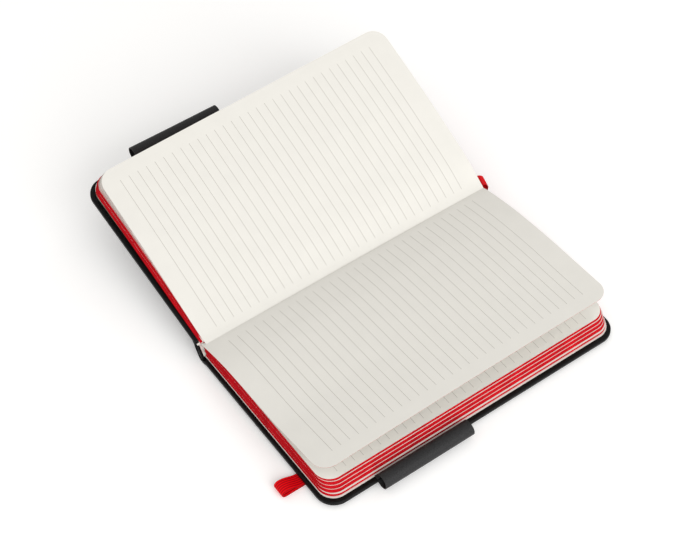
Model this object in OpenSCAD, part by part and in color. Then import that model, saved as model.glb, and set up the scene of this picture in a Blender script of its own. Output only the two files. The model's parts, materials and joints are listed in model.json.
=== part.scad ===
// Hard-cover notebook with rounded corners, lying open on its back cover.
// Drawn in millimetres. +X runs from the spine to the back cover's fore edge,
// +Y from the foot to the head, +Z up from the table.
//
// Every piece is drawn in place in the closed book, where the covers and the
// leaves lie flat on each other, and is then opened about its own hinge line.

/* [Cover] */
// Height of the covers, foot to head
cover_h = 210; // [180:1:240]
// Width of the closed book, spine face to fore edge
cover_w = 130; // [110:1:150]
// Radius of the two fore-edge corners
corner_r = 11.4; // [6:0.2:16]
// Thickness of the grey board inside each cover
board_t = 2; // [1.5:0.1:2.4]
// Thickness of the black covering material
skin_t = 0.35; // [0.25:0.05:0.5]
// Thickness of the endpaper pasted inside each cover
paste_t = 0.2; // [0.15:0.05:0.3]
// Width of the covering turned in over each board
turn_in = 3.4; // [2:0.2:6]

/* [Book block] */
// Thickness of one folded and sewn signature, closed
signature_t = 1.5; // [1.2:0.05:1.6]
// Thickness of half of the signature that lies open
half_t = 0.65; // [0.4:0.05:0.7]
// Thickness of a single leaf
leaf_t = 0.15; // [0.1:0.01:0.18]
// How far the covers stand out past the pages at head and foot
square_y = 1.5; // [1:0.1:3]
// How far the covers stand out past the pages at the fore edge
square_x = 3.7; // [2:0.1:6]
// Radius of the page corners
page_r = 10; // [5:0.2:14]

/* [Elastic closure] */
// Width of the elastic band
elastic_w = 8.4; // [6:0.2:12]
// Thickness of the elastic band
elastic_t = 0.9; // [0.6:0.05:0.9]
// Distance from the fore edge to the middle of the band
elastic_inset = 27; // [20:1:60]
// How far the slack loop stands out past the foot
loop_reach = 15.5; // [10:0.5:25]

/* [Pen loops] */
// Inner radius of the pen loops
pen_r = 3.3; // [2.5:0.1:3.35]
// Wall thickness of the pen loops
pen_wall = 0.55; // [0.4:0.05:0.55]
// Length of each pen loop
pen_l = 62; // [40:1:80]
// Foot end of the back cover's pen loop
back_pen_y = 33; // [25:1:60]
// Foot end of the front cover's pen loop
front_pen_y = 37; // [25:1:60]

/* [Ribbon marker] */
// Width of the ribbon
ribbon_w = 6.6; // [4:0.2:8]
// Thickness of the ribbon
ribbon_t = 0.2; // [0.15:0.05:0.25]

/* [Opening] */
// Angle of the front cover above the back cover's plane, 0 is closed
cover_open = 168.7; // [150:0.1:168.7]
// Lean of the spine when open, from upright
spine_lean = 35; // [30:0.5:35]
// Angle of the first signature
signature_1_open = 166; // [150:0.5:166]
// Angle of the left half of the open signature
signature_2_open = 162; // [145:0.5:162]
// Angle of the single leaf on the left
left_leaf_open = 156; // [140:0.5:156]
// Angle that the single leaf on the right stands up
right_leaf_open = 8.5; // [4:0.5:10]

/* [Hidden] */

$fn = 64;

// Gaps between the leaves
gap = 0.1;
thin_gap = 0.05;

// Heights of the closed book, from the table up. Two layers of the elastic
// lie under the back cover.
back_z = 2 * elastic_t;
cover_t = skin_t + board_t + paste_t;
inner_z = back_z + cover_t;
flyleaf_6_z = inner_z + gap;
signature_6_z = flyleaf_6_z + leaf_t + gap;
signature_pitch = signature_t + gap;
signature_5_z = signature_6_z + signature_pitch;
signature_4_z = signature_5_z + signature_pitch;
signature_3_z = signature_4_z + signature_pitch;
half_right_z = signature_3_z + signature_pitch;
right_leaf_z = half_right_z + half_t + gap;
left_leaf_z = right_leaf_z + leaf_t + gap;
half_left_z = left_leaf_z + leaf_t + gap;
ribbon_z = half_left_z + half_t + thin_gap;
signature_1_z = ribbon_z + ribbon_t + gap;
flyleaf_1_z = signature_1_z + signature_t + thin_gap;
block_t = flyleaf_1_z + leaf_t + gap - inner_z;
front_inner_z = inner_z + block_t;
middle_z = inner_z + block_t / 2;

// Places along X in the closed book
hinge_x = 4.2;
board_x = 5.6;
skin_x = board_x - skin_t;
fold_x = 3;
page_x = cover_w - square_x;
leaf_x = 5.9;
spine_board_x = 0.4;
spine_board_t = 1;
// The spine board stands clear of both covers' inner faces, and the strip over
// it reaches down beside the back cover's joint
spine_board_z = inner_z + 1.25;
spine_top_z = front_inner_z - 1.25;
spine_foot_z = back_z + 0.25;
lining_x = 2.1;
lining_t = 0.4;
lining_gap = 0.8;
band_r = 0.45;

// Hinge lines, [x, z]: the spine's on the back cover, and the front cover's
// on the spine, first closed and then open
back_hinge = [hinge_x, inner_z];
front_hinge = [hinge_x, front_inner_z];
function turned(p, c, a) =
    [c.x + (p.x - c.x) * cos(a) - (p.y - c.y) * sin(a),
     c.y + (p.x - c.x) * sin(a) + (p.y - c.y) * cos(a)];

// Ribbon: its foot end above the covers' foot, its head end below their head,
// and the length glued behind the lining
ribbon_foot_y = 8;
ribbon_head_gap = 0.5;
ribbon_glued_l = 30;

// How far each part of the block that stays on the right has slid along X and
// lifted along Z when the book lies open, because the spine leans
slide_5 = [-1.9, 0.3];
slide_4 = [-3.2, 0.6];
slide_3 = [-4.5, 0.9];
slide_2 = [-5.9, 1.2];

// Sewing stations along the fold, and the thread's stitches there
stitch_y = [37, 62, 144, 169];
stitch_l = 4.5;
stitch_x = 5.4;
stitch_w = 0.35;
stitch_t = 0.25;
// The open signature's right half starts this far behind the fold
half_margin = 0.6;

// Elastic: the slits in the back cover, and the ends glued in the board
elastic_x = cover_w - elastic_inset - elastic_w / 2;
slit_inset = 7;
slit_gap = 0.2;
slit_w = elastic_t + slit_gap;
glued_l = 15;
fold_r = 1.7;
rise_steps = 12;

// Pen loops: the tube's middle in the closed book, and its glued tab
pen_out_r = pen_r + pen_wall;
pen_gap = 0.1;
pen_x = cover_w + pen_out_r + pen_gap;
pen_z = back_z + pen_out_r + pen_gap;
tab_t = 0.2;
tab_l = 13;
// How deep the tab's end is bonded into the tube's wall
tab_bond = 0.05;

// The whole object's middle, so that the origin is under the middle of its box
pen_closed = [pen_x, 2 * middle_z - pen_z];
pen_spine = turned(pen_closed, front_hinge, cover_open - spine_lean);
pen_open = turned(pen_spine, back_hinge, spine_lean);
low_x = pen_open.x - pen_out_r;
high_x = pen_x + pen_out_r;
middle_x = (low_x + high_x) / 2;
middle_y = (cover_h - loop_reach) / 2;

// ---- shared shapes ----

// A sheet with its two fore-edge corners rounded, from x0 to x1 and y0 to y1
module sheet(x0, x1, y0, y1, r) {
    translate([x0, y0]) square([x1 - x0 - r, y1 - y0]);
    translate([x1 - r, y0 + r]) square([r, y1 - y0 - 2 * r]);
    for (y = [y0 + r, y1 - r]) translate([x1 - r, y]) circle(r);
}

// A page or a stack of pages of thickness t, from height z and from x0
module pages(z, t, x0 = fold_x) {
    translate([0, 0, z]) linear_extrude(t)
        sheet(x0, page_x, square_y, cover_h - square_y, page_r);
}

// The cover's outline, set in by d along its three free edges
module cover_outline(x0, d) {
    sheet(x0, cover_w - d, d, cover_h - d, corner_r - d);
}

// A block across the cover, for cutting slits and notches
module block(x0, x1, y0, y1, z0, z1) {
    translate([x0, y0, z0]) cube([x1 - x0, y1 - y0, z1 - z0]);
}

// Slits through the board and skin, and the beds of the elastic's glued ends
module elastic_cuts() {
    x0 = elastic_x - slit_gap;
    x1 = elastic_x + elastic_w + slit_gap;
    board_top = inner_z - paste_t;
    for (flip = [0, 1]) translate([0, flip * cover_h, 0]) mirror([0, flip, 0]) {
        block(x0, x1, slit_inset, slit_inset + slit_w, 0, board_top + 1);
        block(x0, x1, slit_inset, slit_inset + slit_w + glued_l, board_top - elastic_t,
            board_top + 1);
    }
}

// Notch for a pen loop's tab, from the fore edge inward, over the board
module tab_cut(y) {
    z = inner_z - paste_t - tab_t;
    block(cover_w - tab_l - 0.01, cover_w + 1, y, y + pen_l, z, z + tab_t);
}

module cover_board(pen_y, slits) {
    difference() {
        translate([0, 0, back_z + skin_t]) linear_extrude(board_t)
            cover_outline(board_x, skin_t);
        tab_cut(pen_y);
        if (slits) elastic_cuts();
    }
}

// The covering: outer face, edges and the strip turned in around the endpaper
module cover_skin(pen_y, slits) {
    difference() {
        translate([0, 0, back_z]) linear_extrude(cover_t) cover_outline(skin_x, 0);
        translate([0, 0, back_z + skin_t]) linear_extrude(board_t)
            cover_outline(board_x, skin_t);
        translate([0, 0, inner_z - paste_t]) linear_extrude(1)
            cover_outline(skin_x - 1, turn_in);
        tab_cut(pen_y);
        if (slits) elastic_cuts();
    }
}

module pastedown() {
    translate([0, 0, inner_z - paste_t]) linear_extrude(paste_t)
        cover_outline(skin_x, turn_in);
}

// A tube along Y beside the fore edge, on a tab glued over the board
module pen_loop(pen_y) {
    z = inner_z - paste_t - tab_t;
    translate([pen_x, pen_y, pen_z]) rotate([-90, 0, 0]) difference() {
        cylinder(r = pen_out_r, h = pen_l);
        translate([0, 0, -1]) cylinder(r = pen_r, h = pen_l + 2);
    }
    difference() {
        block(cover_w - tab_l, pen_x, pen_y, pen_y + pen_l, z, z + tab_t);
        translate([pen_x, pen_y - 1, pen_z]) rotate([-90, 0, 0])
            cylinder(r = pen_out_r - tab_bond, h = pen_l + 2);
    }
}

// ---- opening the closed book ----

module about(p, a) {
    translate([p.x, 0, p.y]) rotate([0, -a, 0]) translate([-p.x, 0, -p.y]) children();
}

module at_origin() {
    translate([-middle_x, -middle_y, 0]) children();
}

module on_spine() {
    about(back_hinge, spine_lean) children();
}

// Leaves and cover that turn about the front hinge line, to angle a
module turned_over(a) {
    on_spine() about(front_hinge, a - spine_lean) children();
}

module slid(s) {
    translate([s.x, 0, s.y]) children();
}

// Turns a piece drawn as part of the back cover into the front cover's
module as_front() {
    translate([0, 0, 2 * middle_z]) mirror([0, 0, 1]) children();
}

// ---- back cover ----

module back_board() {
    color([0.55, 0.52, 0.47]) at_origin() cover_board(back_pen_y, true);
}

module back_cover_skin() {
    color([0.04, 0.04, 0.045]) at_origin() cover_skin(back_pen_y, true);
}

module back_pastedown() {
    color([0.95, 0.93, 0.88]) at_origin() pastedown();
}

module back_flyleaf() {
    color([0.95, 0.93, 0.88]) at_origin() pages(flyleaf_6_z, leaf_t);
}

module back_pen_loop() {
    color([0.2, 0.2, 0.21]) at_origin() pen_loop(back_pen_y);
}

// The loop past the foot, seen along X as [y, z]: the middle line comes off the
// cover, rises to the fold, turns round it and runs back along the table
function rise(s) = 1.5 * elastic_t + (2 * fold_r - elastic_t) * (1 - cos(180 * s)) / 2;
fold_y = -(loop_reach - fold_r - elastic_t / 2);
fold_z = elastic_t / 2 + fold_r;
function upper_leg(d) = [
    for (i = [0 : rise_steps]) [fold_y * i / rise_steps, rise(i / rise_steps) + d]
];
function reversed(list) = [for (i = [len(list) - 1 : -1 : 0]) list[i]];

module elastic_section() {
    half = elastic_t / 2;
    far_slit = cover_h - slit_inset - elastic_t;
    glue_z = inner_z - paste_t - elastic_t;
    // slack loop
    polygon(concat(upper_leg(half), reversed(upper_leg(-half))));
    translate([fold_y, fold_z]) difference() {
        circle(fold_r + half);
        circle(fold_r - half);
        translate([0, -10]) square([20, 20]);
    }
    // from the slit at the foot out to the loop, and glued end
    translate([-0.01, elastic_t]) square([slit_inset + elastic_t, elastic_t]);
    translate([slit_inset, elastic_t]) square([elastic_t, glue_z]);
    translate([slit_inset, glue_z]) square([glued_l, elastic_t]);
    // long run on the table, up through the slit at the head, and glued end
    translate([fold_y, 0]) square([far_slit - fold_y + elastic_t, elastic_t]);
    translate([far_slit, 0]) square([elastic_t, glue_z + elastic_t]);
    translate([far_slit + elastic_t - glued_l, glue_z]) square([glued_l, elastic_t]);
}

module elastic_strap() {
    color([0.82, 0.02, 0.06]) at_origin() translate([elastic_x, 0, 0])
        rotate([90, 0, 90]) linear_extrude(elastic_w) elastic_section();
}

// ---- block, right side ----

module signature_6() {
    color([0.72, 0.12, 0.16]) at_origin() pages(signature_6_z, signature_t);
}

module signature_5() {
    color([0.76, 0.13, 0.17]) at_origin() slid(slide_5) pages(signature_5_z, signature_t);
}

module signature_4() {
    color([0.72, 0.12, 0.16]) at_origin() slid(slide_4) pages(signature_4_z, signature_t);
}

module signature_3() {
    color([0.76, 0.13, 0.17]) at_origin() slid(slide_3) pages(signature_3_z, signature_t);
}

module signature_2_right() {
    color([0.89, 0.84, 0.78]) at_origin() slid(slide_2)
        pages(half_right_z, half_t, fold_x + half_margin);
}

module sewing_thread() {
    color([0.98, 0.97, 0.94]) at_origin() slid(slide_2)
        for (y = stitch_y)
            block(stitch_x, stitch_x + stitch_w, y - stitch_l / 2, y + stitch_l / 2,
                half_right_z + half_t, half_right_z + half_t + stitch_t);
}

module right_leaf() {
    color([0.88, 0.86, 0.83]) at_origin() slid(slide_2)
        about([leaf_x, right_leaf_z], right_leaf_open) pages(right_leaf_z, leaf_t, leaf_x);
}

// ---- spine ----

module spine_board() {
    color([0.55, 0.52, 0.47]) at_origin() on_spine()
        block(spine_board_x, spine_board_x + spine_board_t, skin_t, cover_h - skin_t,
            spine_board_z, spine_top_z);
}

// Outer strip, turned over the spine board at head and foot. Its lower edge
// hangs to the table when the spine leans.
module spine_skin() {
    color([0.04, 0.04, 0.045]) at_origin() on_spine() {
        block(0, spine_board_x, 0, cover_h, spine_foot_z, spine_top_z);
        for (y = [0, cover_h - skin_t])
            block(spine_board_x, spine_board_x + spine_board_t, y, y + skin_t,
                spine_board_z, spine_top_z);
    }
}

module spine_lining() {
    color([0.97, 0.96, 0.93]) at_origin() on_spine()
        block(lining_x, lining_x + lining_t, square_y - lining_gap + band_r,
            cover_h - square_y + lining_gap - band_r,
            inner_z + lining_gap, front_inner_z - lining_gap);
}

// Rolled band across the end of the block's spine, at distance y from the foot
module end_band(y) {
    color([0.97, 0.96, 0.93]) at_origin() on_spine()
        translate([lining_x + lining_t / 2, y, inner_z + lining_gap])
            cylinder(r = band_r, h = block_t - 2 * lining_gap);
}

module headband() {
    end_band(cover_h - square_y + lining_gap);
}

module tailband() {
    end_band(square_y - lining_gap);
}

// End of the ribbon, glued behind the spine lining at the head
module ribbon_tab() {
    color([0.8, 0.03, 0.08]) at_origin() on_spine()
        block(lining_x - ribbon_t, lining_x, cover_h - ribbon_glued_l, cover_h - square_y,
            middle_z - ribbon_w / 2, middle_z + ribbon_w / 2);
}

// ---- front cover and the leaves turned over with it ----

module front_board() {
    color([0.55, 0.52, 0.47]) at_origin() turned_over(cover_open) as_front()
        cover_board(front_pen_y, false);
}

module front_cover_skin() {
    color([0.04, 0.04, 0.045]) at_origin() turned_over(cover_open) as_front()
        cover_skin(front_pen_y, false);
}

module front_pastedown() {
    color([0.95, 0.93, 0.88]) at_origin() turned_over(cover_open) as_front() pastedown();
}

module front_pen_loop() {
    color([0.2, 0.2, 0.21]) at_origin() turned_over(cover_open) as_front()
        pen_loop(front_pen_y);
}

module signature_1() {
    color([0.72, 0.12, 0.16]) at_origin() turned_over(signature_1_open)
        pages(signature_1_z, signature_t);
}

module front_flyleaf() {
    color([0.95, 0.93, 0.88]) at_origin() turned_over(signature_1_open)
        pages(flyleaf_1_z, leaf_t);
}

module signature_2_left() {
    color([0.89, 0.84, 0.78]) at_origin() turned_over(signature_2_open)
        pages(half_left_z, half_t, hinge_x);
}

module ribbon_marker() {
    color([0.8, 0.03, 0.08]) at_origin() turned_over(signature_2_open)
        block(leaf_x, leaf_x + ribbon_w, ribbon_foot_y, cover_h - ribbon_head_gap,
            ribbon_z, ribbon_z + ribbon_t);
}

module left_leaf() {
    color([0.95, 0.94, 0.92]) at_origin() turned_over(left_leaf_open)
        pages(left_leaf_z, leaf_t, hinge_x);
}

back_board();
back_cover_skin();
back_pastedown();
back_flyleaf();
back_pen_loop();
elastic_strap();
signature_6();
signature_5();
signature_4();
signature_3();
signature_2_right();
sewing_thread();
right_leaf();
spine_board();
spine_skin();
spine_lining();
headband();
tailband();
ribbon_tab();
front_board();
front_cover_skin();
front_pastedown();
front_pen_loop();
signature_1();
front_flyleaf();
signature_2_left();
ribbon_marker();
left_leaf();
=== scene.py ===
"""Hard-cover notebook, open on its back cover: leatherette, ruled paper and red edges."""

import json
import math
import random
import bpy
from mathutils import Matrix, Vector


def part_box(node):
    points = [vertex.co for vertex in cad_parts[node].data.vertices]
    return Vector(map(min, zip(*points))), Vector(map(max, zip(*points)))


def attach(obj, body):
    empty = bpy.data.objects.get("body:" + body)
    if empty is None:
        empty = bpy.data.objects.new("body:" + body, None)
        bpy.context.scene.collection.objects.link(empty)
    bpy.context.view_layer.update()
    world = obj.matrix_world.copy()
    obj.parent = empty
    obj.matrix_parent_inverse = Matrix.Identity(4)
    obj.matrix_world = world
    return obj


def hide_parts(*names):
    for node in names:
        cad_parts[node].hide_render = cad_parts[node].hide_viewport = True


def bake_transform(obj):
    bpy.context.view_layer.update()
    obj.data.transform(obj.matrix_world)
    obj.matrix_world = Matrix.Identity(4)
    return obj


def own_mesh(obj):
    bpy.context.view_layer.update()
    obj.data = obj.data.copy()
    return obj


bl_info = {"name": "Hard-cover notebook", "version": (1, 0, 0), "blender": (4, 5, 0),
    "location": "View3D > Sidebar > Notebook",
    "description": "Builds the looks of an open hard-cover notebook around its frame",
    "category": "Object",}

import bpy
from bpy.props import FloatProperty, FloatVectorProperty, IntProperty, PointerProperty, StringProperty
from mathutils import Vector

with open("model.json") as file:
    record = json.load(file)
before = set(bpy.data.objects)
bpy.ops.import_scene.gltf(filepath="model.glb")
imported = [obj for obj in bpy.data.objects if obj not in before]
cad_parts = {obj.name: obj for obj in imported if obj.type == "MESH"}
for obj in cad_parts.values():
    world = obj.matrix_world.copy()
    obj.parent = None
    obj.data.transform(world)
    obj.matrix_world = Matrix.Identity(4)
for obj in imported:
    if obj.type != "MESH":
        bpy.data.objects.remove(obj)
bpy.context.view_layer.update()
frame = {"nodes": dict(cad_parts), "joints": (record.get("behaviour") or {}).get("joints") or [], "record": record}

MM = 0.001

# ---- places read from the frame, in metres ----

JOINTS = {j["name"]: j for j in frame["joints"]}
COUPLINGS = {c["joint"]: c["ratio"] for c in frame["record"]["behaviour"]["couplings"]}
BACK_HINGE, OPEN_HINGE, LEAF_HINGE = ((JOINTS[name]["pos_m"][0], JOINTS[name]["pos_m"][2])
        for name in ("spine_hinge", "front_cover_hinge", "right_leaf_fold"))
BLOCK_T = math.dist(BACK_HINGE, OPEN_HINGE)
FRONT_HINGE = (BACK_HINGE[0], BACK_HINGE[1] + BLOCK_T)
LEAN = math.atan2(BACK_HINGE[0] - OPEN_HINGE[0], OPEN_HINGE[1] - BACK_HINGE[1])
TRAVEL = math.radians(JOINTS["front_cover_hinge"]["range_deg"][1])
COVER_LO, COVER_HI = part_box("back_cover_skin")
PAGE_LO, PAGE_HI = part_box("signature_6")
PAGE_H = PAGE_HI.y - PAGE_LO.y
PAGE_W = PAGE_HI.x - PAGE_LO.x
MIDDLE_Z = BACK_HINGE[1] + BLOCK_T / 2
COVER_T = BACK_HINGE[1] - COVER_LO.z
# The covering stands this much proud of the frame's straight outline.
FULLER = 0.45 * MM
COVER_R = 11.4 * MM
ELASTIC_T = COVER_LO.z / 2


def open_angle(body):
    """The angle of a body turned over with the front cover, from the back cover's plane."""
    return LEAN + TRAVEL * COUPLINGS.get(body + "_fold", 1.0)


def turned(x, z, centre, angle):
    """A point of the XZ plane, turned about a centre from +X towards +Z."""
    dx, dz = x - centre[0], z - centre[1]
    c, s = math.cos(angle), math.sin(angle)
    return centre[0] + dx * c - dz * s, centre[1] + dx * s + dz * c


def on_spine(x, z):
    """Where a point of the closed book's spine is in the open book."""
    return turned(x, z, BACK_HINGE, LEAN)


def turned_over(x, z, angle):
    """Where a point of the closed book is when its leaf or cover lies open at angle."""
    return on_spine(*turned(x, z, FRONT_HINGE, angle - LEAN))


def closed_box(node, angle):
    """The box of a turned-over node as it lies in the closed book."""
    points = []
    for v in frame["nodes"][node].data.vertices:
        x, z = turned(v.co.x, v.co.z, BACK_HINGE, -LEAN)
        x, z = turned(x, z, FRONT_HINGE, LEAN - angle)
        points.append((x, v.co.y, z))
    lows = [min(p[i] for p in points) for i in range(3)]
    highs = [max(p[i] for p in points) for i in range(3)]
    return Vector(lows), Vector(highs)


# ---- sizes and colours that a user would change ----


class NotebookSizes(bpy.types.PropertyGroup):
    """Sizes of the pieces that the frame leaves to the looks"""

    rule_pitch: FloatProperty(name="Ruling", description="Distance between ruled lines", default=6 * MM,
            unit="LENGTH")
    rule_count: IntProperty(name="Lines", description="Ruled lines on a page", default=31)
    rule_w: FloatProperty(name="Line width", description="Width of a ruled line", default=0.24 * MM,
            unit="LENGTH")
    rule_inner: FloatProperty(name="Inner margin", description="From the fold to the lines",
            default=6 * MM, unit="LENGTH")
    rule_outer: FloatProperty(name="Outer margin", description="From the lines to the fore edge",
            default=9.5 * MM, unit="LENGTH")
    sheet_t: FloatProperty(name="Sheet", description="Thickness of one sheet of paper",
            default=0.1 * MM, unit="LENGTH")
    edge_r: FloatProperty(name="Cover edge", description="Rounding of the covers' wrapped edges",
            default=0.95 * MM, unit="LENGTH")
    loop_wall: FloatProperty(name="Pen loop wall", description="Thickness of the pen loops' material",
            default=0.6 * MM, unit="LENGTH")
    ribbon_w: FloatProperty(name="Ribbon", description="Width of the ribbon marker", default=6.6 * MM,
            unit="LENGTH")
    rib_count: IntProperty(name="Ribs", description="Ribs across the elastic", default=6)


class NotebookColours(bpy.types.PropertyGroup):
    """Colours of the notebook's finishes, as sRGB hex values"""

    leatherette: StringProperty(name="Leatherette", description="Covers and spine", default="#060606")
    pen_loop: StringProperty(name="Pen loops", description="Pen loops", default="#2A2A2B")
    paper: StringProperty(name="Paper", description="Writing paper", default="#E6E4DE")
    ruling: StringProperty(name="Ruling", description="Printed lines", default="#A8A49C")
    endpaper: StringProperty(name="Endpaper", description="Endpapers", default="#E4E2DC")
    edge_dye: StringProperty(name="Edges", description="Dyed page edges", default="#C9101E")
    elastic: StringProperty(name="Elastic", description="Elastic closure", default="#D8000F")
    ribbon: StringProperty(name="Ribbon", description="Ribbon marker", default="#CE0512")
    floor: StringProperty(name="Floor", description="Studio floor", default="#F7F7F7")


class NotebookView(bpy.types.PropertyGroup):
    """The studio's camera"""

    azimuth: FloatProperty(name="Azimuth", description="Direction of the camera",
            default=math.radians(54.05), subtype="ANGLE")
    elevation: FloatProperty(name="Elevation", description="Height of the camera",
            default=math.radians(50.7), subtype="ANGLE")
    distance: FloatProperty(name="Distance", description="From the camera to its aim", default=1.091,
            unit="LENGTH")
    lens: FloatProperty(name="Lens", description="Focal length in millimetres", default=91.95)
    aim: FloatVectorProperty(name="Aim", description="Point that the camera looks at",
            subtype="TRANSLATION", default=(-6.68 * MM, 14.25 * MM, 1.8 * MM))


# ---- mesh tools ----


def new_piece(name, verts, faces, material, smooth=40.0):
    """A mesh object from its points and faces, shaded smooth up to an angle in degrees."""
    mesh = bpy.data.meshes.new(name)
    mesh.from_pydata([tuple(v) for v in verts], [], faces)
    mesh.validate()
    mesh.polygons.foreach_set("use_smooth", [True] * len(mesh.polygons))
    mesh.set_sharp_from_angle(angle=math.radians(smooth))
    piece = bpy.data.objects.new(name, mesh)
    bpy.context.scene.collection.objects.link(piece)
    mesh.materials.append(material)
    return piece


def loft(name, rings, material, smooth=40.0):
    """Skins a list of closed rings, each with the same number of points."""
    n = len(rings[0])
    verts = [p for ring in rings for p in ring]
    faces = []
    for r in range(len(rings) - 1):
        for i in range(n):
            j = (i + 1) % n
            faces.append((r * n + i, r * n + j, (r + 1) * n + j, (r + 1) * n + i))
    faces.append(tuple(reversed(range(n))))
    faces.append(tuple(range((len(rings) - 1) * n, len(rings) * n)))
    return new_piece(name, verts, faces, material, smooth)


def thick_line(path, thickness, ends=1.0):
    """A closed outline around an open 2-D path, half the thickness to each side.

    Its ends thin down to a part of the thickness."""
    left, right = [], []
    for i, (a, b) in enumerate(path):
        inward = min(i, len(path) - 1 - i)
        full = min(1.0, ends + (1 - ends) * math.sqrt(inward / 3))
        before, after = path[max(i - 1, 0)], path[min(i + 1, len(path) - 1)]
        along = Vector((after[0] - before[0], after[1] - before[1])).normalized()
        side = Vector((-along.y, along.x)) * thickness / 2 * full
        left.append((a + side.x, b + side.y))
        right.append((a - side.x, b - side.y))
    return left + right[::-1]


def smooth_path(points, steps):
    """Points on a smooth curve through the given ones, with steps to each stretch."""
    ends = [points[0], *points, points[-1]]
    made = []
    for a, b, c, d in zip(ends, ends[1:], ends[2:], ends[3:]):
        for k in range(steps):
            t = k / steps
            made.append(tuple(
                0.5 * (2 * q + (r - p) * t + (2 * p - 5 * q + 4 * r - s) * t * t
                       + (3 * q - p - 3 * r + s) * t ** 3)
                for p, q, r, s in zip(a, b, c, d)))
    made.append(tuple(points[-1]))
    return made


def cover_outline(inset, steps=14):
    """The cover's outline, [x, y], with its fore-edge corners round and its edges set in."""
    r = max(COVER_R + FULLER - inset, 0.2 * MM)
    x0 = COVER_LO.x + min(inset, 0.8 * MM)
    x1 = COVER_HI.x + FULLER - inset
    y0, y1 = COVER_LO.y - FULLER + inset, COVER_HI.y + FULLER - inset
    points = [(x0, y0)]
    for cx, cy, first in ((x1 - r, y0 + r, -90), (x1 - r, y1 - r, 0)):
        for k in range(steps + 1):
            a = math.radians(first + 90 * k / steps)
            points.append((cx + r * math.cos(a), cy + r * math.sin(a)))
    points.append((x0, y1))
    return points


# ---- materials ----


def linear(hex_value):
    """An sRGB hex value as linear RGBA."""
    channels = [int(hex_value[i:i + 2], 16) / 255 for i in (1, 3, 5)]
    return (*[c / 12.92 if c <= 0.04045 else ((c + 0.055) / 1.055) ** 2.4 for c in channels], 1.0)


def shade(hex_value, factor):
    """A colour of a finish, made lighter or darker."""
    r, g, b, a = linear(hex_value)
    return (min(r * factor, 1), min(g * factor, 1), min(b * factor, 1), a)


def new_material(name, **surface):
    """A material and its surface shader, with the shader's own sockets set."""
    material = bpy.data.materials.new(name)
    material.use_nodes = True
    shader = material.node_tree.nodes["Principled BSDF"]
    for socket, value in surface.items():
        shader.inputs[socket.replace("_", " ")].default_value = value
    return material, shader


def add_node(material, kind, inputs=None, **settings):
    """Adds a node, sets it up and links or fills its inputs."""
    node = material.node_tree.nodes.new(kind)
    for key, value in settings.items():
        setattr(node, key, value)
    for key, value in (inputs or {}).items():
        if isinstance(value, bpy.types.NodeSocket):
            material.node_tree.links.new(value, node.inputs[key])
        else:
            node.inputs[key].default_value = value
    return node


def dress(material, shader, colour, bump):
    """Feeds a colour and a relief to the surface shader."""
    material.node_tree.links.new(colour, shader.inputs["Base Color"])
    material.node_tree.links.new(bump.outputs["Normal"], shader.inputs["Normal"])


MATERIALS = {}


def leatherette(name, colour, roughness, grain):
    """Polyurethane leatherette, embossed: a fine pebbled grain that breaks up a satin gloss."""
    material, shader = new_material(name, Roughness=roughness, IOR=1.5, Specular_IOR_Level=0.16)
    place = add_node(material, "ShaderNodeTexCoord").outputs["Object"]
    # Pebbles of the embossing are about grain across.
    cells = add_node(material, "ShaderNodeTexVoronoi", {"Vector": place, "Scale": 1 / grain},
        feature="SMOOTH_F1")
    soft = add_node(material, "ShaderNodeTexNoise", {"Vector": place, "Scale": 1 / (grain * 40),
        "Detail": 4.0})
    # The middle of each pebble's cell is the lowest and the lightest.
    tone = add_node(material, "ShaderNodeMix", {"Factor": cells.outputs["Distance"], "A": shade(colour,
        1.5), "B": shade(colour, 0.6)}, data_type="RGBA")
    bump = add_node(material, "ShaderNodeBump", {"Height": cells.outputs["Distance"], "Strength": 0.5,
        "Distance": grain * 0.3})
    rough = add_node(material, "ShaderNodeMapRange", {"Value": soft.outputs["Fac"],
        "To Min": roughness - 0.03, "To Max": roughness + 0.04})
    material.node_tree.links.new(rough.outputs["Result"], shader.inputs["Roughness"])
    dress(material, shader, tone.outputs["Result"], bump)
    return material


def fibre_paper(name, colour):
    """Uncoated offset paper, calendered: matt, with a faint cloudiness and fibre relief."""
    material, shader = new_material(name, Roughness=0.85, IOR=1.45, Specular_IOR_Level=0.3)
    place = add_node(material, "ShaderNodeTexCoord").outputs["Object"]
    cloud = add_node(material, "ShaderNodeTexNoise", {"Vector": place, "Scale": 1 / (9 * MM),
        "Detail": 5.0})
    fibres = add_node(material, "ShaderNodeTexNoise", {"Vector": place, "Scale": 1 / (0.35 * MM),
        "Detail": 3.0, "Distortion": 0.6})
    tone = add_node(material, "ShaderNodeMix", {"Factor": cloud.outputs["Fac"], "A": shade(colour,
        0.965), "B": shade(colour, 1.02)}, data_type="RGBA")
    bump = add_node(material, "ShaderNodeBump", {"Height": fibres.outputs["Fac"], "Strength": 0.12,
        "Distance": 0.03 * MM})
    dress(material, shader, tone.outputs["Result"], bump)
    return material, shader, tone


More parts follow.
